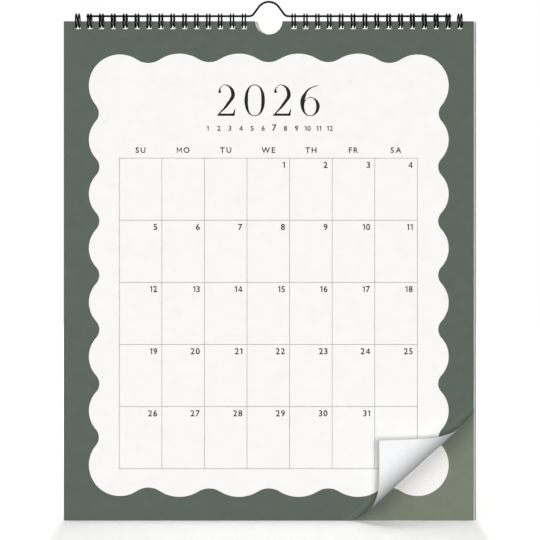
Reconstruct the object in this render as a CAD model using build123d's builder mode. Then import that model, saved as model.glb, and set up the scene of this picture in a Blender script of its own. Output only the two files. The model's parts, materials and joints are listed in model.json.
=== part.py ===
from build123d import *
import os
from math import cos, degrees, floor, hypot, pi, radians, sin, sqrt, tan

# A wall calendar: leaves and a board on a twin-loop wire binding, hung from an arched wire.
# Millimetres. X runs to the right seen from the front, Y into the wall, Z up.
# The origin is the underside of the hanger's arch, where the nail carries it.

# Leaves and board
leaf_width = 292.1
leaf_height = 355.6
leaf_thickness = 0.25
leaf_count = 12
board_thickness = 1.0

# The stack has slumped to the right: its last leaf and the board against the front leaf
fan_shift = 1.0
board_shift = 2.0

# Thumb notch at the top middle of every sheet
notch_radius = 9.8
notch_rise = 0.4

# Twin-loop binding, three loops to the inch
loop_pitch = 25.4 / 3
loop_diameter = 9.76
wire_diameter = 0.95
twin_spacing = 2.1
comb_gap = 35.5
side_margin = 8.0
seam_gap = 0.3
end_stub = 0.6

# The wires are drawn with flat sides, because there are sixty loops of them
ring_sides = 10
wire_sides = 6
rod_sides = 12

# Punched holes, slid a little to the right against the wires
hole_width = 3.7
hole_height = 3.0
hole_margin = 2.6
hole_slide = 0.15

# Hanger: a straight rod with an arch in its middle, on sloping sides
rod_diameter = 1.35
rod_clearance = 0.2
arch_rise = 10.2
arch_slope = 53.5
arch_radius = 8.8
arch_foot_radius = 4.0
rod_overhang = 0.8

# The front leaf's lower right corner: bent upright at a slanting crease, then curled over
roll_reach = 62.6
roll_angle = 47.8
roll_skew = 0.118
crease_radius = 5.0
crease_rise = 7.4
curl_radius = 22.0
curl_turn = 80.0
curl_tip = 0.4
crease_strips = 2
curl_strips = 3

# Heights, from the nail down
rod_radius = rod_diameter / 2
rod_z = rod_radius - arch_rise
side_turn = 360 / ring_sides
ring_radius = loop_diameter / (1 + cos(radians(side_turn / 2)))
wire_radius = wire_diameter / 2 * sqrt(pi / (wire_sides / 2 * sin(2 * pi / wire_sides)))
ring_inside = ring_radius * cos(radians(side_turn / 2)) - wire_radius
ring_z = rod_z - (ring_inside - rod_radius - rod_clearance)
block_thickness = leaf_thickness * (leaf_count - 1)
stack_thickness = leaf_thickness + block_thickness + board_thickness
wire_drop = (loop_diameter / 2 + sqrt(loop_diameter**2 - stack_thickness**2) / 2) / 2
hole_z = ring_z - wire_drop
leaf_top = hole_z + hole_height / 2 + hole_margin
leaf_bottom = leaf_top - leaf_height
leaf_middle = (leaf_top + leaf_bottom) / 2

# Depths, from the wall forward
board_back = stack_thickness / 2
block_back = board_back - board_thickness
leaf_back = block_back - block_thickness

# Places of the loops along the binding
loops_per_side = floor((leaf_width / 2 - comb_gap / 2 - side_margin) / loop_pitch) + 1
loop_places = [comb_gap / 2 + k * loop_pitch for k in range(loops_per_side)]
all_loops = [-x for x in loop_places] + loop_places


def sheet_outline(shift):
    """The outline of a sheet with its notch, moved to the right by shift."""
    with Locations((shift, leaf_middle)):
        Rectangle(leaf_width, leaf_height)
    with Locations((shift, leaf_top + notch_rise)):
        Circle(notch_radius, mode=Mode.SUBTRACT)


def punched_holes(mode):
    """One hole for each loop."""
    with Locations(*[(x + hole_slide, hole_z) for x in all_loops]):
        Rectangle(hole_width, hole_height, mode=mode)


# Hanger
slope_cos = cos(radians(arch_slope))
slope_sin = sin(radians(arch_slope))
bends = arch_radius + arch_foot_radius
side_length = (arch_rise - bends * (1 - slope_cos)) / slope_sin
foot_x = bends * slope_sin + side_length * slope_cos
rod_end = loop_places[-2] + twin_spacing / 2 + wire_radius + rod_overhang
with BuildPart() as hanger:
    with BuildLine(Plane.XZ) as rod_line:
        left_run = Line((-rod_end, rod_z), (-foot_x, rod_z))
        left_foot = JernArc(left_run @ 1, left_run % 1, arch_foot_radius, arch_slope)
        left_side = PolarLine(left_foot @ 1, side_length, direction=left_foot % 1)
        arch = JernArc(left_side @ 1, left_side % 1, arch_radius, -2 * arch_slope)
        right_side = PolarLine(arch @ 1, side_length, direction=arch % 1)
        right_foot = JernArc(right_side @ 1, right_side % 1, arch_foot_radius, arch_slope)
        Line(right_foot @ 1, (rod_end, rod_z))
    with BuildSketch(Plane(origin=rod_line.line @ 0, z_dir=rod_line.line % 0)):
        RegularPolygon(rod_radius, rod_sides)
    sweep(path=rod_line.line)
hanger.part.label = "hanger"


# Twin-loop binding
def loop_point(x, turn):
    """A point of a loop's centre line. turn is counted from its lowest point round by the front."""
    a = radians(turn)
    return (x, -ring_radius * sin(a), ring_z - ring_radius * cos(a))


# One double loop: in along the bridge, round through the hole, across the tip, back and out again
seam_turn = -1.5 * side_turn
tip_turn = 360 + seam_turn - degrees((2 * wire_radius + seam_gap) / ring_radius)
corner_turns = [seam_turn + k * side_turn for k in range(ring_sides)] + [tip_turn]
left_leg = [loop_point(-twin_spacing / 2, turn) for turn in corner_turns]
right_leg = [loop_point(twin_spacing / 2, turn) for turn in reversed(corner_turns)]
bridge_start = loop_point(-loop_pitch / 2, seam_turn)
bridge_end = loop_point(loop_pitch / 2, seam_turn)
with BuildPart() as double_loop:
    with BuildLine() as loop_line:
        Polyline(bridge_start, *left_leg, *right_leg, bridge_end)
    with BuildSketch(Plane(origin=loop_line.line @ 0, z_dir=loop_line.line % 0)):
        RegularPolygon(wire_radius, wire_sides)
    sweep(path=loop_line.line, transition=Transition.RIGHT)

comb_in = loop_places[0] - twin_spacing / 2 - wire_radius - end_stub
comb_out = loop_places[-1] + twin_spacing / 2 + wire_radius + end_stub
with BuildPart() as wire_right:
    with Locations(*[(x, 0, 0) for x in loop_places]):
        add(double_loop.part)
    split(bisect_by=Plane.YZ.offset(comb_in), keep=Keep.TOP)
    split(bisect_by=Plane.YZ.offset(comb_out), keep=Keep.BOTTOM)
wire_right.part.label = "wire_right"

with BuildPart() as wire_left:
    add(mirror(wire_right.part, about=Plane.YZ, mode=Mode.PRIVATE))
wire_left.part.label = "wire_left"


# Board
with BuildPart() as back_board:
    with BuildSketch(Plane.XZ.offset(-board_back)):
        sheet_outline(board_shift)
        punched_holes(Mode.SUBTRACT)
    extrude(amount=board_thickness)
back_board.part.label = "back_board"


# Leaves behind the front one, fanned to the right by the slump
with BuildPart() as leaf_block:
    with BuildSketch(Plane.XZ.offset(-block_back)):
        sheet_outline(fan_shift)
    extrude(amount=hypot(fan_shift, block_thickness), dir=(-fan_shift, -block_thickness, 0))
    with BuildSketch(Plane.XZ.offset(-block_back)):
        punched_holes(Mode.ADD)
    extrude(amount=block_thickness, mode=Mode.SUBTRACT)
leaf_block.part.label = "leaf_block"


# Front leaf: a flat sheet, and its corner turned up along a slanting line
corner_x = leaf_width / 2
across_x = cos(radians(roll_angle))
across_z = -sin(radians(roll_angle))
along_x = -across_z
along_z = across_x
upright = pi / 2
crease_end = crease_radius * upright
curl_start = crease_end + crease_rise
curl_end = curl_start + curl_radius * radians(curl_turn)


def between(across, start, end):
    """How much of a distance across the corner lies between two places."""
    return min(max(across, start), end) - start


def rolled(along, across):
    """Where a point of the flat corner goes. across is counted from the line where the crease starts."""
    crease = between(across, 0, crease_end) / crease_radius
    rise = between(across, crease_end, curl_start)
    curl = between(across, curl_start, curl_end) / curl_radius
    tail = between(across, curl_end, roll_reach)
    forward = crease_radius * sin(crease) - curl_radius * (1 - cos(curl)) - tail * sin(curl)
    lift = crease_radius * (1 - cos(crease)) + rise + curl_radius * sin(curl) + tail * cos(curl)
    sideways = along - roll_skew * (across - forward)
    x = corner_x + across_x * (forward - roll_reach) + along_x * sideways
    z = leaf_bottom + across_z * (forward - roll_reach) + along_z * sideways
    return (x, leaf_back - lift, z)


def heading(slope, across):
    """The direction of a rolled edge that runs along the roll by slope for each step across."""
    crease = between(across, 0, crease_end) / crease_radius
    curl = between(across, curl_start, curl_end) / curl_radius
    turn = crease + curl
    side_step = slope - roll_skew * (1 - cos(turn))
    x = across_x * cos(turn) + along_x * side_step
    z = across_z * cos(turn) + along_z * side_step
    return (x, -sin(turn), z)


def rolled_edge(slope, start, end):
    """A stretch of a straight edge of the corner, rolled."""
    places = [start, (start + end) / 2, end]
    points = [rolled((across - roll_reach) * slope, across) for across in places]
    headings = [heading(slope, start), heading(slope, end)]
    return Edge.make_spline(points, headings, parameters=places, scale=False)


lower_slope = tan(radians(roll_angle))
right_slope = -1 / lower_slope
paper_end = roll_reach - curl_tip
bend_ends = [crease_end * k / crease_strips for k in range(crease_strips + 1)]
bend_ends += [curl_start + (curl_end - curl_start) * k / curl_strips for k in range(curl_strips + 1)]
strip_ends = [end for end in bend_ends if end < paper_end] + [paper_end]

with BuildPart() as front_leaf:
    with BuildSketch(Plane.XZ.offset(-leaf_back)):
        sheet_outline(0)
        punched_holes(Mode.SUBTRACT)
        with BuildLine():
            Polyline(
                (corner_x, leaf_bottom),
                (corner_x, leaf_bottom - roll_reach / across_z),
                (corner_x - roll_reach / across_x, leaf_bottom),
                close=True,
            )
        make_face(mode=Mode.SUBTRACT)
    extrude(amount=leaf_thickness)
    for start, end in zip(strip_ends, strip_ends[1:]):
        strip = Face.make_surface_from_curves(
            rolled_edge(lower_slope, start, end), rolled_edge(right_slope, start, end)
        )
        thicken(strip, amount=leaf_thickness)
front_leaf.part.label = "front_leaf"


os.makedirs("parts", exist_ok=True)
for piece in (hanger, wire_left, wire_right, front_leaf, leaf_block, back_board):
    export_step(piece.part, f"parts/{piece.part.label}.step")
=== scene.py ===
import json
from math import asin, atan2, ceil, cos, pi, radians, sin, sqrt

import bmesh
import bpy
from mathutils import Matrix, Vector


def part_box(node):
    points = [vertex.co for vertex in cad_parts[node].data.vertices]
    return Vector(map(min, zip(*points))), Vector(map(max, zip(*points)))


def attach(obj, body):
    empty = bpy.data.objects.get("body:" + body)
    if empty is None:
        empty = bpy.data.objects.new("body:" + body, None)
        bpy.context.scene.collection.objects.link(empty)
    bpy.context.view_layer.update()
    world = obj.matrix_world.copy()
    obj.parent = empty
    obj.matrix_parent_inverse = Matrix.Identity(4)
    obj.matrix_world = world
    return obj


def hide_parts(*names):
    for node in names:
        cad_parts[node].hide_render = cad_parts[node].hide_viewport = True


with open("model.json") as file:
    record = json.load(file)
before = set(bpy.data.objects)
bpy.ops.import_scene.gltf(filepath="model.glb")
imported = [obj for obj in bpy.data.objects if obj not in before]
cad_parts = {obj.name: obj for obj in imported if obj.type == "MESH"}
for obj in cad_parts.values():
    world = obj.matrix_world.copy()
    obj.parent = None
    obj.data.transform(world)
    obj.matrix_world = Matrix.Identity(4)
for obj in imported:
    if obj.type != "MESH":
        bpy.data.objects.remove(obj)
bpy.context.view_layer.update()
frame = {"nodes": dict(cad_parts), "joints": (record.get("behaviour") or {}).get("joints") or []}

# A wall calendar: printed leaves on a twin-loop wire binding, with an arched wire hanger.
# Metres, in the CAD frame: X to the right, Y into the wall, Z up, the nail at the origin.

mm = 0.001

# What the frame gives
leaf_low, leaf_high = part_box("front_leaf")
block_low, block_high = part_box("leaf_block")
hanger_low, hanger_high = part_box("hanger")
wire_low, wire_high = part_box("wire_right")
joint_places = {joint["name"]: Vector(joint["pos_m"]) for joint in frame["joints"]}
rod_z = joint_places["binding_on_hanger"].z
ring_z = joint_places["front_leaf_on_wire"].z
leaf_left = leaf_low.x
leaf_right = leaf_high.x
leaf_bottom = leaf_low.z
leaf_top = leaf_high.z
leaf_middle = (leaf_left + leaf_right) / 2
leaf_back = block_low.y
block_depth = block_high.y - block_low.y
fan_shift = block_high.x - leaf_right

# Paper
leaf_thickness = 0.25 * mm
ink_thickness = 0.02 * mm
block_leaves = 11
leaf_gap = 0.02 * mm
leaf_clearance = 0.03 * mm
leaf_face = leaf_back - leaf_thickness

# Holes and notch, as punched
hole_width = 3.7 * mm
hole_height = 3.0 * mm
hole_margin = 2.6 * mm
hole_slide = 0.15 * mm
notch_radius = 9.8 * mm
notch_rise = 0.4 * mm
hole_z = leaf_top - hole_margin - hole_height / 2

# Twin-loop binding, its wire a little thicker than in the CAD, as the photograph shows it.
# A loop starts at seam_turn, and the bend at its tip has its centre at tip_turn.
loop_pitch = 25.4 * mm / 3
comb_gap = 35.5 * mm
loops_a_side = 15
wire_diameter = 1.04 * mm
loop_radius = 4.88 * mm
twin_spacing = 2.1 * mm
bridge_bend = 0.7 * mm
seam_turn = radians(-54)
tip_turn = radians(279)
wire_rounding = 0.208 * mm
wire_sides = 8
bend_steps = 4
loop_steps = 26
tip_steps = 8
loop_places = [comb_gap / 2 + k * loop_pitch for k in range(loops_a_side)]

# Hanger: the rod's half thickness in the CAD, which places it, and its thickness as the photograph shows it
rod_radius = 0.675 * mm
rod_thickness = 1.5 * mm
arch_slope = radians(53.5)
arch_radius = 8.8 * mm
arch_foot_radius = 4.0 * mm
rod_rounding = 0.25 * mm
rod_sides = 16
foot_steps = 12
arch_steps = 32

# The front leaf's corner, bent upright at a slanting crease and curled over, as in the CAD
roll_reach = 62.6 * mm
roll_angle = radians(47.8)
roll_skew = 0.118
crease_radius = 5.0 * mm
crease_rise = 7.4 * mm
curl_radius = 22.0 * mm
curl_turn = radians(80)
crease_cuts = 18
curl_cuts = 24

# Scalloped panel: lobes round its edge, with the gaps from the leaf's edges to their crests
panel_side_gap = 17.9 * mm
panel_top_gap = 23.1 * mm
panel_bottom_gap = 16.8 * mm
corner_gap = 0.6 * mm
corner_lobe = 22.1 * mm
side_lobe = 19.9 * mm
cross_lobe = 25.6 * mm
side_fillet = 8.8 * mm
cross_fillet = 14.7 * mm
lobes_down = 8
lobes_across = 6
arc_step = radians(6)

# Day grid and its print
grid_left = 39.56 * mm
grid_width = 212.3 * mm
grid_top = 97.55 * mm
row_height = 44.24 * mm
next_row_height = 36.2 * mm
grid_columns = 7
grid_line = 0.34 * mm
number_height = 4.15 * mm
number_drop = 2.7 * mm
number_inset = 3.3 * mm
weekday_height = 3.8 * mm
weekday_drop = 93.7 * mm
heading_height = 22.1 * mm
heading_drop = 67.4 * mm
heading_spacing = 0.27
months_height = 3.4 * mm
months_drop = 78.0 * mm
months_width = 87.0 * mm
month_growth = 1.3
month_count = 12
year = "2026"
weekdays = ("SU", "MO", "TU", "WE", "TH", "FR", "SA")

# Letters: how far an outline grows for a bolder stroke, and the gaps between figures and capitals
stroke_gain = 0.02
figure_gap = 0.19
capital_gap = 0.3

# Letters drawn here one unit high, where the built-in font's shape is too plain or can't be made bolder
own_letters = {
    "1": [
        [(0.22, 0.0), (0.41, 0.0), (0.41, 1.0), (0.28, 1.0), (0.0, 0.89), (0.0, 0.73), (0.22, 0.81)],
    ],
    "4": [
        [
            (0.41, 0.0), (0.59, 0.0), (0.59, 0.2), (0.72, 0.2), (0.72, 0.36), (0.59, 0.36),
            (0.59, 1.0), (0.42, 1.0), (-0.02, 0.33), (-0.02, 0.2), (0.41, 0.2),
        ],
        [(0.41, 0.36), (0.41, 0.74), (0.18, 0.36)],
    ],
    "M": [
        [
            (0.0, 0.0), (0.16, 0.0), (0.16, 0.7), (0.44, 0.22), (0.52, 0.22), (0.8, 0.7), (0.8, 0.0),
            (0.96, 0.0), (0.96, 1.0), (0.81, 1.0), (0.48, 0.45), (0.15, 1.0), (0.0, 1.0),
        ],
    ],
}

# Meshes: points nearer than tiny are one, and so are those of two fields of print nearer than weld
tiny = 1e-7
weld = 1e-6

# Floor: its gap below the calendar, half its side, and its tones to the eye and to the light it sends on
floor_gap = 0.3 * mm
floor_reach = 4.0
floor_tone = "#F3F3F2"
floor_bounce_tone = "#616161"

# The floor's glow: a level below the calendar that grows to its sides and further off, each from a start
# to an end. Its rise at the sides is painted light that washes out the shadows beside the calendar. A pool
# of painted light lightens the curl's shadow, with its place and how far it reaches
under_glow = 0.235
side_glow = 0.44
side_glow_start = 142 * mm
side_glow_end = 153 * mm
far_glow = 0.2
far_glow_start = 100 * mm
far_glow_end = 500 * mm
curl_glow = 0.11
curl_glow_place = (106 * mm, -8 * mm, 0)
curl_glow_reach = (50 * mm, 46 * mm, 1)

# Lights: degrees from the front to the right, degrees up, spread in degrees, level
ambient = 0.08
lights = {
    "front_light": (1, 4, 8, 0.55),
    "key_light": (-28, 15, 30, 0.43),
    "top_light": (0, 90, 44, 0.42),
    "back_light": (180, 4, 8, 0.95),
}

# Camera, at the photograph's place in front of the leaf
view_distance = 1100 * mm
view_width = 384.65 * mm
view_x = 0.87 * mm
view_rise = 0.6 * mm
sensor = 36.0


# Materials

def linear(hex_colour):
    """An sRGB hex colour as linear RGBA."""
    channels = [int(hex_colour[k:k + 2], 16) / 255 for k in (1, 3, 5)]
    return [c / 12.92 if c <= 0.04045 else ((c + 0.055) / 1.055) ** 2.4 for c in channels] + [1.0]


def add_node(tree, kind, inputs=None, **settings):
    """Adds a node with its settings. An input is a value, or the socket that feeds it."""
    node = tree.nodes.new(kind)
    for name, value in settings.items():
        setattr(node, name, value)
    for name, value in (inputs or {}).items():
        if isinstance(value, bpy.types.NodeSocket):
            tree.links.new(value, node.inputs[name])
        else:
            node.inputs[name].default_value = value
    return node


def new_material(name):
    """An empty material, its node tree and its shader."""
    material = bpy.data.materials.new(name)
    material.use_nodes = True
    tree = material.node_tree
    return material, tree, tree.nodes["Principled BSDF"]


def paper_finish(name, light, dark, roughness, fibre=0.5, mottle=9.0, grain=0.12):
    """Paper or board: fibres that roughen it, and faint clouds of tone where pulp or ink lies thicker.
    Fibres are finer than this in life, and are drawn as coarse as they need to show."""
    material, tree, shader = new_material(name)
    place = add_node(tree, "ShaderNodeTexCoord").outputs["Object"]
    fibres = add_node(
        tree, "ShaderNodeTexNoise",
        {"Vector": place, "Scale": 1 / (fibre * mm), "Detail": 4.0, "Roughness": 0.65},
    )
    clouds = add_node(
        tree, "ShaderNodeTexNoise",
        {"Vector": place, "Scale": 1 / (mottle * mm), "Detail": 3.0, "Roughness": 0.5},
    )
    both = add_node(
        tree, "ShaderNodeMath",
        {0: fibres.outputs["Fac"], 1: clouds.outputs["Fac"]}, operation="MULTIPLY",
    )
    tone = add_node(
        tree, "ShaderNodeMapRange",
        {"Value": both.outputs["Value"], "From Min": 0.1, "From Max": 0.42},
    )
    colour = add_node(
        tree, "ShaderNodeMix",
        {"Factor": tone.outputs["Result"], "A": linear(dark), "B": linear(light)}, data_type="RGBA",
    )
    bump = add_node(
        tree, "ShaderNodeBump",
        {"Height": fibres.outputs["Fac"], "Strength": grain, "Distance": 0.05 * mm},
    )
    tree.links.new(colour.outputs["Result"], shader.inputs["Base Color"])
    tree.links.new(bump.outputs["Normal"], shader.inputs["Normal"])
    shader.inputs["Roughness"].default_value = roughness
    shader.inputs["Specular IOR Level"].default_value = 0.08
    return material


def wire_finish():
    """Nylon-coated steel wire: a black plastic skin with a soft sheen and a slight orange peel."""
    material, tree, shader = new_material("nylon_coated_wire")
    place = add_node(tree, "ShaderNodeTexCoord").outputs["Object"]
    peel = add_node(tree, "ShaderNodeTexNoise", {"Vector": place, "Scale": 1 / (0.6 * mm), "Detail": 2.0})
    sheen = add_node(
        tree, "ShaderNodeMapRange",
        {"Value": peel.outputs["Fac"], "To Min": 0.4, "To Max": 0.55},
    )
    bump = add_node(
        tree, "ShaderNodeBump",
        {"Height": peel.outputs["Fac"], "Strength": 0.15, "Distance": 0.03 * mm},
    )
    tree.links.new(sheen.outputs["Result"], shader.inputs["Roughness"])
    tree.links.new(bump.outputs["Normal"], shader.inputs["Normal"])
    shader.inputs["Base Color"].default_value = linear("#020202")
    shader.inputs["Specular IOR Level"].default_value = 0.04
    return material


def seen_by_eye(tree):
    """A socket that is 1 for rays to the eye, straight or mirrored, and 0 for light that is sent on."""
    ray = add_node(tree, "ShaderNodeLightPath")
    seen = add_node(
        tree, "ShaderNodeMath",
        {0: ray.outputs["Is Camera Ray"], 1: ray.outputs["Is Glossy Ray"]}, operation="MAXIMUM",
    )
    seen = add_node(
        tree, "ShaderNodeMath",
        {0: seen.outputs["Value"], 1: ray.outputs["Is Transmission Ray"]}, operation="MAXIMUM",
    )
    return seen.outputs["Value"]


def smooth_step(tree, value, start, end, low, high):
    """A socket that goes smoothly from low to high as value goes from start to end."""
    step = add_node(
        tree, "ShaderNodeMapRange",
        {"Value": value, "From Min": start, "From Max": end, "To Min": low, "To Max": high},
        interpolation_type="SMOOTHSTEP",
    )
    return step.outputs["Result"]


def floor_finish():
    """A pale matt floor that keeps the shadow in front of the object and grows white away from it.
    Painted light washes out the shadows beside the object and lightens the curl's shadow.
    """
    material, tree, shader = new_material("pale_floor")
    seen = seen_by_eye(tree)
    place = add_node(tree, "ShaderNodeTexCoord").outputs["Object"]
    steps = add_node(tree, "ShaderNodeVectorMath", {0: place}, operation="ABSOLUTE")
    sides = add_node(tree, "ShaderNodeSeparateXYZ", {0: steps.outputs["Vector"]})
    # Painted light: the floor glows brighter beside the calendar, washing out the shadows that fall there.
    beside = smooth_step(
        tree, sides.outputs["X"], side_glow_start, side_glow_end, under_glow, side_glow,
    )
    far_off = smooth_step(tree, sides.outputs["Y"], far_glow_start, far_glow_end, 0.0, far_glow)
    from_curl = add_node(tree, "ShaderNodeVectorMath", {0: place, 1: curl_glow_place}, operation="SUBTRACT")
    from_curl = add_node(
        tree, "ShaderNodeVectorMath",
        {0: from_curl.outputs["Vector"], 1: curl_glow_reach}, operation="DIVIDE",
    )
    from_curl = add_node(tree, "ShaderNodeVectorMath", {0: from_curl.outputs["Vector"]}, operation="LENGTH")
    # Painted light: a pool of glow under the curl that lightens the curl's shadow on the floor.
    under_curl = smooth_step(tree, from_curl.outputs["Value"], 0.0, 1.0, curl_glow, 0.0)
    white = add_node(tree, "ShaderNodeMath", {0: beside, 1: far_off}, operation="ADD")
    white = add_node(
        tree, "ShaderNodeMath", {0: white.outputs["Value"], 1: under_curl}, operation="ADD",
    )
    glow = add_node(
        tree, "ShaderNodeMath", {0: seen, 1: white.outputs["Value"]}, operation="MULTIPLY",
    )
    base = add_node(
        tree, "ShaderNodeMix",
        {"Factor": seen, "A": linear(floor_bounce_tone), "B": linear(floor_tone)}, data_type="RGBA",
    )
    tree.links.new(glow.outputs["Value"], shader.inputs["Emission Strength"])
    tree.links.new(base.outputs["Result"], shader.inputs["Base Color"])
    shader.inputs["Emission Color"].default_value = linear("#FFFFFF")
    shader.inputs["Roughness"].default_value = 0.9
    shader.inputs["Specular IOR Level"].default_value = 0.0
    return material


green_print = paper_finish("green_printed_paper", "#5B655C", "#566058", 0.62)
olive_print = paper_finish("olive_printed_paper", "#7A8273", "#747B6D", 0.62)
panel_print = paper_finish("off_white_printed_paper", "#F7F6F4", "#F3F2F0", 0.62)
paper_back = paper_finish("white_uncoated_paper", "#FEFFFF", "#FBFCFE", 0.7)
# The cut edges are greyer than the paper's faces: partly painted shade on the stack's fore-edge.
paper_edge = paper_finish("cut_paper_edge", "#DCDDD0", "#B0B3A4", 0.85, fibre=0.3, mottle=2.0)
greyboard = paper_finish(
    "recycled_greyboard", "#AEB3A5", "#93998B", 0.9, fibre=0.9, mottle=5.0, grain=0.4,
)
line_ink = paper_finish("grey_line_ink", "#8E8E8B", "#80807D", 0.6)
text_ink = paper_finish("dark_grey_ink", "#1E1E1E", "#161616", 0.55)
heading_ink = paper_finish("black_ink", "#080808", "#040404", 0.5)
black_wire = wire_finish()


# Mesh tools

def only(kind, geometry):
    """The vertices, edges or faces in a list of mixed geometry."""
    return [piece for piece in geometry if isinstance(piece, kind)]


def make_piece(name, bm, materials, body, replaced=(), smooth_below=35):
    """Turns a bmesh into a piece that rides on a body. Edges over smooth_below degrees stay crisp."""
    for face in bm.faces:
        face.smooth = True
    for edge in bm.edges:
        edge.smooth = edge.is_manifold and edge.calc_face_angle() < radians(smooth_below)
    mesh = bpy.data.meshes.new(name)
    bm.to_mesh(mesh)
    bm.free()
    for material in materials:
        mesh.materials.append(material)
    piece = bpy.data.objects.new(name, mesh)
    bpy.context.scene.collection.objects.link(piece)
    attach(piece, body)
    if replaced:
        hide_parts(*replaced)
    return piece


def curve_mesh(curve):
    """The filled mesh of a flat curve or text, as a bmesh."""
    holder = bpy.data.objects.new("outline", curve)
    bpy.context.scene.collection.objects.link(holder)
    bpy.context.view_layer.update()
    depsgraph = bpy.context.evaluated_depsgraph_get()
    mesh = bpy.data.meshes.new_from_object(holder.evaluated_get(depsgraph))
    bm = bmesh.new()
    bm.from_mesh(mesh)
    bpy.data.objects.remove(holder)
    bpy.data.curves.remove(curve)
    bpy.data.meshes.remove(mesh)
    bmesh.ops.remove_doubles(bm, verts=bm.verts, dist=tiny)
    return bm


def join_flat_faces(bm):
    """Joins the slivers that filling leaves into a few flat faces, one field of print at a time."""
    bmesh.ops.dissolve_degenerate(bm, dist=tiny, edges=bm.edges)
    bmesh.ops.dissolve_limit(
        bm, angle_limit=radians(1), use_dissolve_boundaries=False, verts=bm.verts, edges=bm.edges,
        delimit={"MATERIAL"},
    )


def filled(loops):
    """A flat shape between closed loops of (x, z) points, standing up and facing the viewer."""
    curve = bpy.data.curves.new("outline", "CURVE")
    curve.dimensions = "2D"
    curve.fill_mode = "BOTH"
    for loop in loops:
        spline = curve.splines.new("POLY")
        spline.points.add(len(loop) - 1)
        spline.use_cyclic_u = True
        for point, (x, z) in zip(spline.points, loop):
            point.co = (x, z, 0, 1)
    bm = curve_mesh(curve)
    stand_up(bm)
    return bm


def stand_up(bm):
    """Turns a shape drawn flat on the XY plane to face the viewer."""
    bmesh.ops.transform(bm, matrix=Matrix.Rotation(pi / 2, 4, "X"), verts=bm.verts)
    for face in bm.faces:
        if face.normal.y > 0:
            face.normal_flip()


def thicken(bm, thickness, side_material, back_material):
    """Gives a flat shape that faces the viewer a thickness behind it."""
    front = list(bm.faces)
    tones = [face.material_index for face in front]
    grown = bmesh.ops.extrude_face_region(bm, geom=front, use_keep_orig=True)["geom"]
    back = only(bmesh.types.BMFace, grown)
    bmesh.ops.translate(bm, vec=(0, thickness, 0), verts=only(bmesh.types.BMVert, grown))
    for face in bm.faces:
        face.material_index = side_material
    for face, tone in zip(front, tones):
        face.material_index = tone
    for face in back:
        face.material_index = back_material
    bmesh.ops.recalc_face_normals(bm, faces=bm.faces)


def join(bm, other):
    """Adds another bmesh to bm and frees it."""
    mesh = bpy.data.meshes.new("part")
    other.to_mesh(mesh)
    other.free()
    bm.from_mesh(mesh)
    bpy.data.meshes.remove(mesh)


def circle_points(x, z, radius, start, end):
    """Points of an arc from one angle to another, ends included."""
    steps = max(2, ceil(abs(end - start) / arc_step))
    angles = [start + (end - start) * k / steps for k in range(steps + 1)]
    return [(x + radius * cos(angle), z + radius * sin(angle)) for angle in angles]


# The turned-up corner

across_dir = Vector((cos(roll_angle), 0, -sin(roll_angle)))
along_dir = Vector((sin(roll_angle), 0, cos(roll_angle)))
leaf_corner = Vector((leaf_right, leaf_back, leaf_bottom))
crease_end = crease_radius * pi / 2
curl_start = crease_end + crease_rise
curl_end = curl_start + curl_radius * curl_turn


def between(across, start, end):
    """How much of a distance across the corner lies between two places."""
    return min(max(across, start), end) - start


def cut_for_roll(bm):
    """Cuts a flat shape along the lines that stay straight when the corner turns up."""
    places = [crease_end * k / crease_cuts for k in range(crease_cuts + 1)]
    places += [curl_start + (curl_end - curl_start) * k / curl_cuts for k in range(curl_cuts + 1)]
    for across in places:
        place = leaf_corner + across_dir * (across - roll_reach)
        everything = list(bm.verts) + list(bm.edges) + list(bm.faces)
        bmesh.ops.bisect_plane(bm, geom=everything, dist=tiny, plane_co=place, plane_no=across_dir)


def roll_up(bm):
    """Turns up what lies beyond the crease, with each point's height over the leaf's back kept."""
    for vert in bm.verts:
        from_corner = vert.co - leaf_corner
        across = from_corner.dot(across_dir) + roll_reach
        if across <= 0:
            continue
        height = leaf_back - vert.co.y
        crease = between(across, 0, crease_end) / crease_radius
        rise = between(across, crease_end, curl_start)
        curl = between(across, curl_start, curl_end) / curl_radius
        tail = between(across, curl_end, roll_reach)
        turn = crease + curl
        forward = crease_radius * sin(crease) - curl_radius * (1 - cos(curl)) - tail * sin(curl)
        lift = crease_radius * (1 - cos(crease)) + rise + curl_radius * sin(curl) + tail * cos(curl)
        sideways = from_corner.dot(along_dir) - roll_skew * (across - forward)
        forward -= height * sin(turn)
        lift += height * cos(turn)
        vert.co = leaf_corner + across_dir * (forward - roll_reach) + along_dir * sideways
        vert.co.y -= lift


# Sheets

def sheet_loops(shift):
    """The outline of a sheet with its notch, and its holes. shift moves the sheet but not the holes."""
    notch_z = leaf_top + notch_rise
    notch_end = asin(notch_rise / notch_radius)
    notch = circle_points(leaf_middle + shift, notch_z, notch_radius, pi + notch_end, 2 * pi - notch_end)
    left = leaf_left + shift
    right = leaf_right + shift
    outline = notch + [(right, leaf_top), (right, leaf_bottom), (left, leaf_bottom), (left, leaf_top)]
    holes = []
    for side in (-1, 1):
        for place in loop_places:
            x = leaf_middle + side * place + hole_slide
            near = x - hole_width / 2
            far = x + hole_width / 2
            low = hole_z - hole_height / 2
            high = hole_z + hole_height / 2
            holes.append([(near, low), (far, low), (far, high), (near, high)])
    return [outline] + holes


def evenly(first, last, count):
    """Places between first and last, ends left out."""
    return [first + (last - first) * k / (count - 1) for k in range(1, count - 1)]


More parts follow.
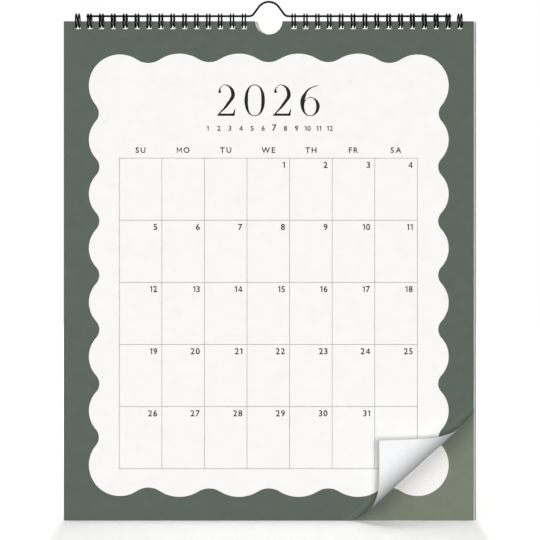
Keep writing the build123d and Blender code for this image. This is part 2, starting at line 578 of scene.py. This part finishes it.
def scallop_loop():
    """The panel's edge: round lobes joined by hollow fillets, going round by the right."""
    left = leaf_left + panel_side_gap + corner_lobe
    right = leaf_right - panel_side_gap - corner_lobe
    low = leaf_bottom + panel_bottom_gap + corner_gap + corner_lobe
    high = leaf_top - panel_top_gap - corner_gap - corner_lobe
    inward = side_lobe - corner_lobe
    low_row = leaf_bottom + panel_bottom_gap + cross_lobe
    high_row = leaf_top - panel_top_gap - cross_lobe
    lobes = [(left, low, corner_lobe, cross_fillet)]
    lobes += [(x, low_row, cross_lobe, cross_fillet) for x in evenly(left, right, lobes_across)]
    lobes += [(right, low, corner_lobe, side_fillet)]
    lobes += [(right - inward, z, side_lobe, side_fillet) for z in evenly(low, high, lobes_down)]
    lobes += [(right, high, corner_lobe, cross_fillet)]
    lobes += [(x, high_row, cross_lobe, cross_fillet) for x in evenly(right, left, lobes_across)]
    lobes += [(left, high, corner_lobe, side_fillet)]
    lobes += [(left + inward, z, side_lobe, side_fillet) for z in evenly(high, low, lobes_down)]

    fillets = []
    for (ax, az, ar, fillet), (bx, bz, br, _) in zip(lobes, lobes[1:] + lobes[:1]):
        gap = sqrt((bx - ax) ** 2 + (bz - az) ** 2)
        step_x = (bx - ax) / gap
        step_z = (bz - az) / gap
        forward = (gap ** 2 + (ar + fillet) ** 2 - (br + fillet) ** 2) / (2 * gap)
        outward = sqrt((ar + fillet) ** 2 - forward ** 2)
        fillet_x = ax + step_x * forward + step_z * outward
        fillet_z = az + step_z * forward - step_x * outward
        fillets.append((fillet_x, fillet_z, fillet))

    points = []
    for k, (x, z, radius, _) in enumerate(lobes):
        before_x, before_z, _ = fillets[k - 1]
        after_x, after_z, after_radius = fillets[k]
        start = atan2(before_z - z, before_x - x)
        end = atan2(after_z - z, after_x - x)
        points += circle_points(x, z, radius, start, start + (end - start) % (2 * pi))[:-1]
        next_x, next_z, _, _ = lobes[(k + 1) % len(lobes)]
        start = atan2(z - after_z, x - after_x)
        end = atan2(next_z - after_z, next_x - after_x)
        end = start - (start - end) % (2 * pi)
        points += circle_points(after_x, after_z, after_radius, start, end)[:-1]
    return points


def printed_sheet(thickness):
    """A sheet with a border field (material 0), a panel field (1), cut edges (2) and a plain back (3)."""
    edge = scallop_loop()
    bm = filled(sheet_loops(0) + [edge])
    panel = filled([edge])
    for face in panel.faces:
        face.material_index = 1
    join(bm, panel)
    bmesh.ops.remove_doubles(bm, verts=bm.verts, dist=weld)
    join_flat_faces(bm)
    thicken(bm, thickness, 2, 3)
    return bm


def make_front_leaf():
    """The leaf on show, its lower right corner rolled up. Its thin rim takes the border's green as painted
    shade, in place of a pale cut edge that would show along the rolled corner.
    """
    bm = printed_sheet(leaf_thickness - leaf_clearance)
    bmesh.ops.translate(bm, vec=(0, leaf_face, 0), verts=bm.verts)
    cut_for_roll(bm)
    roll_up(bm)
    # The rim (slot 2) is painted the border's green as shade, in place of the pale cut edge.
    materials = [green_print, panel_print, green_print, paper_back]
    make_piece("front_leaf_sheet", bm, materials, "front_leaf", ["front_leaf"])


def make_block():
    """The leaves behind it, each a sheet of its own, slid over one another to the right."""
    pitch = block_depth / block_leaves
    bm = bmesh.new()
    for k in range(block_leaves):
        if k == 0:
            sheet = printed_sheet(pitch - leaf_gap)
        else:
            sheet = filled(sheet_loops(fan_shift * (k + 0.5) / block_leaves))
            join_flat_faces(sheet)
            for face in sheet.faces:
                face.material_index = 1
            thicken(sheet, pitch - leaf_gap, 2, 3)
        bmesh.ops.translate(sheet, vec=(0, block_low.y + pitch * k, 0), verts=sheet.verts)
        join(bm, sheet)
    materials = [olive_print, panel_print, paper_edge, paper_back]
    make_piece("leaf_stack", bm, materials, "binding", ["leaf_block"])


# Print

# Heading numerals, drawn one unit high. An outline's points are (x, z, corner), and curves join those
# that aren't corners.
numeral_shapes = {
    "0": (0.66, [
        [(0.33, 1.01, 0), (0.0, 0.5, 0), (0.33, -0.01, 0), (0.66, 0.5, 0)],
        [(0.33, 0.985, 0), (0.545, 0.5, 0), (0.33, 0.015, 0), (0.115, 0.5, 0)],
    ]),
    "2": (0.6, [
        [
            (0.035, 0.74, 1), (0.085, 0.9, 0), (0.28, 1.01, 0), (0.57, 0.73, 0), (0.4, 0.38, 0),
            (0.1, 0.075, 1), (0.5, 0.075, 1), (0.565, 0.22, 1), (0.59, 0.22, 1), (0.56, 0.0, 1),
            (0.01, 0.0, 1), (0.01, 0.03, 1), (0.29, 0.38, 0), (0.45, 0.73, 0), (0.265, 0.985, 0),
            (0.12, 0.9, 0), (0.13, 0.74, 1),
        ],
    ]),
    "6": (0.64, [
        [
            (0.56, 1.0, 1), (0.2, 0.83, 0), (0.0, 0.36, 0), (0.31, -0.01, 0), (0.62, 0.31, 0),
            (0.34, 0.61, 0), (0.135, 0.51, 1), (0.265, 0.82, 0), (0.565, 0.98, 1),
        ],
        [(0.33, 0.585, 0), (0.51, 0.31, 0), (0.32, 0.015, 0), (0.12, 0.33, 0)],
    ]),
}


def numeral(digit):
    """A heading numeral as a flat shape facing the viewer, its foot at the origin."""
    curve = bpy.data.curves.new("numeral", "CURVE")
    curve.dimensions = "2D"
    curve.fill_mode = "BOTH"
    curve.resolution_u = 10
    for outline in numeral_shapes[digit][1]:
        spline = curve.splines.new("BEZIER")
        spline.bezier_points.add(len(outline) - 1)
        spline.use_cyclic_u = True
        for point, (x, z, corner) in zip(spline.bezier_points, outline):
            point.co = (x, z, 0)
            point.handle_left_type = "VECTOR" if corner else "AUTO"
            point.handle_right_type = point.handle_left_type
    bm = curve_mesh(curve)
    stand_up(bm)
    return bm


def letter(sign):
    """A letter or figure as a flat shape facing the viewer, its foot at z 0, capitals one unit high."""
    if sign in own_letters:
        return filled(own_letters[sign])
    curve = bpy.data.curves.new("letter", "FONT")
    curve.body = sign
    curve.offset = stroke_gain
    curve.resolution_u = 3
    bm = curve_mesh(curve)
    bmesh.ops.scale(bm, vec=(1 / capital_height, 1 / capital_height, 1), verts=bm.verts)
    stand_up(bm)
    return bm


def lettering(words, gap):
    """A word or number, its letters side by side."""
    bm = bmesh.new()
    x = 0.0
    for sign in words:
        shape = letter(sign)
        width = max(vert.co.x for vert in shape.verts) - min(vert.co.x for vert in shape.verts)
        place_print(bm, shape, 1, x, 0, 0)
        x += width + gap
    return bm


def measured_capital():
    """How tall a capital of the built-in font is."""
    curve = bpy.data.curves.new("letters", "FONT")
    curve.body = "E"
    bm = curve_mesh(curve)
    height = max(vert.co.y for vert in bm.verts)
    bm.free()
    return height


capital_height = measured_capital()


def place_print(bm, shape, size, x, z, anchor):
    """Adds a flat shape to bm at a size, with its foot at z.
    anchor 0, 0.5 or 1 puts its left, middle or right at x."""
    left = min(vert.co.x for vert in shape.verts)
    right = max(vert.co.x for vert in shape.verts)
    bmesh.ops.translate(shape, vec=(-left - (right - left) * anchor, 0, 0), verts=shape.verts)
    bmesh.ops.scale(shape, vec=(size, 1, size), verts=shape.verts)
    bmesh.ops.translate(shape, vec=(x, 0, z), verts=shape.verts)
    join(bm, shape)


def finish_print(name, bm, ink, body, face_y, rolled):
    """Makes a flat print a thin film of ink that lies on the sheet whose face is at face_y."""
    join_flat_faces(bm)
    thicken(bm, ink_thickness, 0, 0)
    bmesh.ops.translate(bm, vec=(0, face_y - ink_thickness, 0), verts=bm.verts)
    if rolled:
        cut_for_roll(bm)
        roll_up(bm)
    make_piece(name, bm, [ink], body)


def month_x(number):
    """Where a month's number stands in the row of months."""
    return leaf_middle + months_width * ((number - 1) / (month_count - 1) - 0.5)


def print_month(name, body, face_y, first_column, days, rows, row, month, rolled):
    """The day grid, day numbers, weekday heads and heading of one leaf.
    first_column is the weekday of day 1, rows and row are the number and height of the grid's rows."""
    left = leaf_left + grid_left
    top = leaf_top - grid_top
    column = grid_width / grid_columns
    half = grid_line / 2

    low = top - rows * row
    loops = [[
        (left - half, low - half), (left + grid_width + half, low - half),
        (left + grid_width + half, top + half), (left - half, top + half),
    ]]
    for across in range(grid_columns):
        for down in range(rows):
            x = left + across * column
            z = top - down * row
            loops.append([
                (x + half, z - half), (x + column - half, z - half),
                (x + column - half, z - row + half), (x + half, z - row + half),
            ])
    finish_print(name + "_grid", filled(loops), line_ink, body, face_y, rolled)

    numbers = bmesh.new()
    for day in range(1, days + 1):
        down, across = divmod(first_column + day - 1, grid_columns)
        x = left + (across + 1) * column - number_inset
        z = top - down * row - number_drop - number_height
        place_print(numbers, lettering(str(day), figure_gap), number_height, x, z, 1)
    for across, head in enumerate(weekdays):
        x = left + (across + 0.5) * column
        shape = lettering(head, capital_gap)
        place_print(numbers, shape, weekday_height, x, leaf_top - weekday_drop, 0.5)
    for number in range(1, month_count + 1):
        if number != month:
            shape = lettering(str(number), figure_gap)
            place_print(numbers, shape, months_height, month_x(number), leaf_top - months_drop, 0.5)
    finish_print(name + "_numbers", numbers, text_ink, body, face_y, rolled)

    heading = bmesh.new()
    widths = [numeral_shapes[digit][0] + heading_spacing for digit in year]
    x = leaf_middle - heading_height * (sum(widths) - heading_spacing) / 2
    for digit, width in zip(year, widths):
        place_print(heading, numeral(digit), heading_height, x, leaf_top - heading_drop, 0)
        x += heading_height * width
    shape = lettering(str(month), figure_gap)
    size = month_growth * months_height
    place_print(heading, shape, size, month_x(month), leaf_top - months_drop, 0.5)
    finish_print(name + "_heading", heading, heading_ink, body, face_y, rolled)


# Wires

def start_wire(bm, place, radius, sides):
    """A ring of edges square to the X axis, to draw a wire from."""
    matrix = Matrix.Translation(place) @ Matrix.Rotation(pi / 2, 4, "Y")
    ring = bmesh.ops.create_circle(bm, cap_ends=False, radius=radius, segments=sides, matrix=matrix)
    return list({edge for vert in ring["verts"] for edge in vert.link_edges})


def run_straight(bm, ring, shift):
    """Draws the wire on in a straight line."""
    grown = bmesh.ops.extrude_edge_only(bm, edges=ring)["geom"]
    fresh = only(bmesh.types.BMVert, grown)
    bmesh.ops.translate(bm, vec=shift, verts=fresh)
    fresh = set(fresh)
    return [edge for edge in only(bmesh.types.BMEdge, grown) if fresh.issuperset(edge.verts)]


def run_round(bm, ring, centre, axis, angle, steps):
    """Draws the wire on round a bend."""
    verts = list({vert for edge in ring for vert in edge.verts})
    turned = bmesh.ops.spin(
        bm, geom=verts + ring, cent=centre, axis=axis, dvec=(0, 0, 0), angle=angle, steps=steps,
        use_duplicate=False,
    )
    return only(bmesh.types.BMEdge, turned["geom_last"])


def close_wire(bm, rounding):
    """Caps the wire's two ends and takes the sharp edge off them."""
    caps = bmesh.ops.holes_fill(bm, edges=bm.edges, sides=0)["faces"]
    bmesh.ops.recalc_face_normals(bm, faces=bm.faces)
    rims = [edge for face in caps for edge in face.edges]
    bmesh.ops.bevel(
        bm, geom=rims, offset=rounding, segments=3, profile=0.5, affect="EDGES", material=-1,
        clamp_overlap=True,
    )


def loop_place(x, turn):
    """A point of a loop's centre line. turn is counted from its lowest point round by the front."""
    return Vector((x, -loop_radius * sin(turn), ring_z - loop_radius * cos(turn)))


def loop_heading(turn):
    """The direction of a loop's centre line as turn grows."""
    return Vector((0, -cos(turn), sin(turn)))


def make_comb(name, side, node):
    """Half of the binding: one wire, bent out and back into a double loop for each hole."""
    right = Vector((1, 0, 0))
    ring_centre = Vector((0, 0, ring_z))
    off = loop_heading(seam_turn)
    hand = right.cross(off)
    tip = loop_heading(tip_turn)
    sweep = tip_turn - seam_turn
    bridge = loop_place(0, seam_turn) - off * bridge_bend

    bm = bmesh.new()
    place = bridge + right * wire_low.x
    ring = start_wire(bm, place, wire_diameter / 2, wire_sides)
    for x in loop_places:
        leg_start = x - twin_spacing / 2 - bridge_bend
        ring = run_straight(bm, ring, (leg_start - place.x, 0, 0))
        bend = loop_place(leg_start, seam_turn)
        ring = run_round(bm, ring, bend, hand, pi / 2, bend_steps)
        ring = run_round(bm, ring, ring_centre, -right, sweep, loop_steps)
        ring = run_round(bm, ring, loop_place(x, tip_turn), tip.cross(right), pi, tip_steps)
        ring = run_round(bm, ring, ring_centre, right, sweep, loop_steps)
        leg_end = x + twin_spacing / 2 + bridge_bend
        ring = run_round(bm, ring, loop_place(leg_end, seam_turn), hand, pi / 2, bend_steps)
        place = bridge + right * leg_end
    run_straight(bm, ring, (wire_high.x - place.x, 0, 0))
    close_wire(bm, wire_rounding)
    if side < 0:
        bmesh.ops.scale(bm, vec=(-1, 1, 1), verts=bm.verts)
    bmesh.ops.recalc_face_normals(bm, faces=bm.faces)
    make_piece(name, bm, [black_wire], "binding", [node], smooth_below=50)


def make_hanger():
    """The hanger: one straight wire with an arch bent into its middle."""
    arch_z = rod_radius - arch_radius
    foot_z = rod_z + arch_foot_radius
    bends = arch_radius + arch_foot_radius
    side_length = (rod_radius - rod_z - bends * (1 - cos(arch_slope))) / sin(arch_slope)
    side_x = side_length * cos(arch_slope)
    side_z = side_length * sin(arch_slope)
    foot_x = bends * sin(arch_slope) + side_x
    forward = Vector((0, 1, 0))

    bm = bmesh.new()
    ring = start_wire(bm, Vector((hanger_low.x, 0, rod_z)), rod_thickness / 2, rod_sides)
    ring = run_straight(bm, ring, (-foot_x - hanger_low.x, 0, 0))
    ring = run_round(bm, ring, (-foot_x, 0, foot_z), -forward, arch_slope, foot_steps)
    ring = run_straight(bm, ring, (side_x, 0, side_z))
    ring = run_round(bm, ring, (0, 0, arch_z), forward, 2 * arch_slope, arch_steps)
    ring = run_straight(bm, ring, (side_x, 0, -side_z))
    ring = run_round(bm, ring, (foot_x, 0, foot_z), -forward, arch_slope, foot_steps)
    run_straight(bm, ring, (hanger_high.x - foot_x, 0, 0))
    close_wire(bm, rod_rounding)
    bmesh.ops.recalc_face_normals(bm, faces=bm.faces)
    make_piece("hanger_wire", bm, [black_wire], "hanger", ["hanger"], smooth_below=50)


make_hanger()
make_comb("binding_wire_left", -1, "wire_left")
make_comb("binding_wire_right", 1, "wire_right")
make_front_leaf()
make_block()
print_month(
    "front_leaf", "front_leaf", leaf_face,
    first_column=3, days=31, rows=5, row=row_height, month=7, rolled=True,
)
print_month(
    "next_leaf", "binding", leaf_back,
    first_column=6, days=31, rows=6, row=next_row_height, month=8, rolled=False,
)

board_mesh = frame["nodes"]["back_board"].data
board_mesh.materials.clear()
board_mesh.materials.append(greyboard)


# Floor, light and camera

def make_floor():
    """A pale floor just under the calendar."""
    bm = bmesh.new()
    bmesh.ops.create_grid(bm, x_segments=1, y_segments=1, size=floor_reach)
    bmesh.ops.translate(bm, vec=(0, 0, leaf_bottom - floor_gap), verts=bm.verts)
    mesh = bpy.data.meshes.new("floor")
    bm.to_mesh(mesh)
    bm.free()
    mesh.materials.append(floor_finish())
    floor = bpy.data.objects.new("floor", mesh)
    bpy.context.scene.collection.objects.link(floor)


def make_world():
    """White all round. It lights the object at the ambient level, and looks white to the eye."""
    world = bpy.data.worlds.new("studio")
    bpy.context.scene.world = world
    world.use_nodes = True
    tree = world.node_tree
    seen = seen_by_eye(tree)
    strength = add_node(
        tree, "ShaderNodeMapRange",
        {"Value": seen, "To Min": ambient, "To Max": 1.0},
    )
    background = tree.nodes["Background"]
    background.inputs["Color"].default_value = linear("#FFFFFF")
    tree.links.new(strength.outputs["Result"], background.inputs["Strength"])


def make_light(name, azimuth, elevation, spread, level):
    """Even soft light from one side, in degrees from the front to the right and up.
    level is how bright it makes a white surface that faces it."""
    turn = radians(azimuth)
    tilt = radians(elevation)
    source = Vector((sin(turn) * cos(tilt), -cos(turn) * cos(tilt), sin(tilt)))
    data = bpy.data.lights.new(name, "SUN")
    data.energy = level * pi
    data.angle = radians(spread)
    light = bpy.data.objects.new(name, data)
    light.rotation_euler = source.to_track_quat("Z", "Y").to_euler()
    bpy.context.scene.collection.objects.link(light)


def make_camera():
    """Square on to the leaf, as the photograph is."""
    data = bpy.data.cameras.new("camera")
    data.sensor_width = sensor
    data.lens = sensor * view_distance / view_width
    data.clip_end = 50
    camera = bpy.data.objects.new("camera", data)
    height = (leaf_top + leaf_bottom) / 2 + view_rise
    camera.location = (view_x, leaf_face - view_distance, height)
    camera.rotation_euler = (pi / 2, 0, 0)
    bpy.context.scene.collection.objects.link(camera)
    bpy.context.scene.camera = camera


make_floor()
make_world()
for name, (azimuth, elevation, spread, level) in lights.items():
    make_light(name, azimuth, elevation, spread, level)
make_camera()
bpy.context.scene.view_settings.view_transform = "Standard"
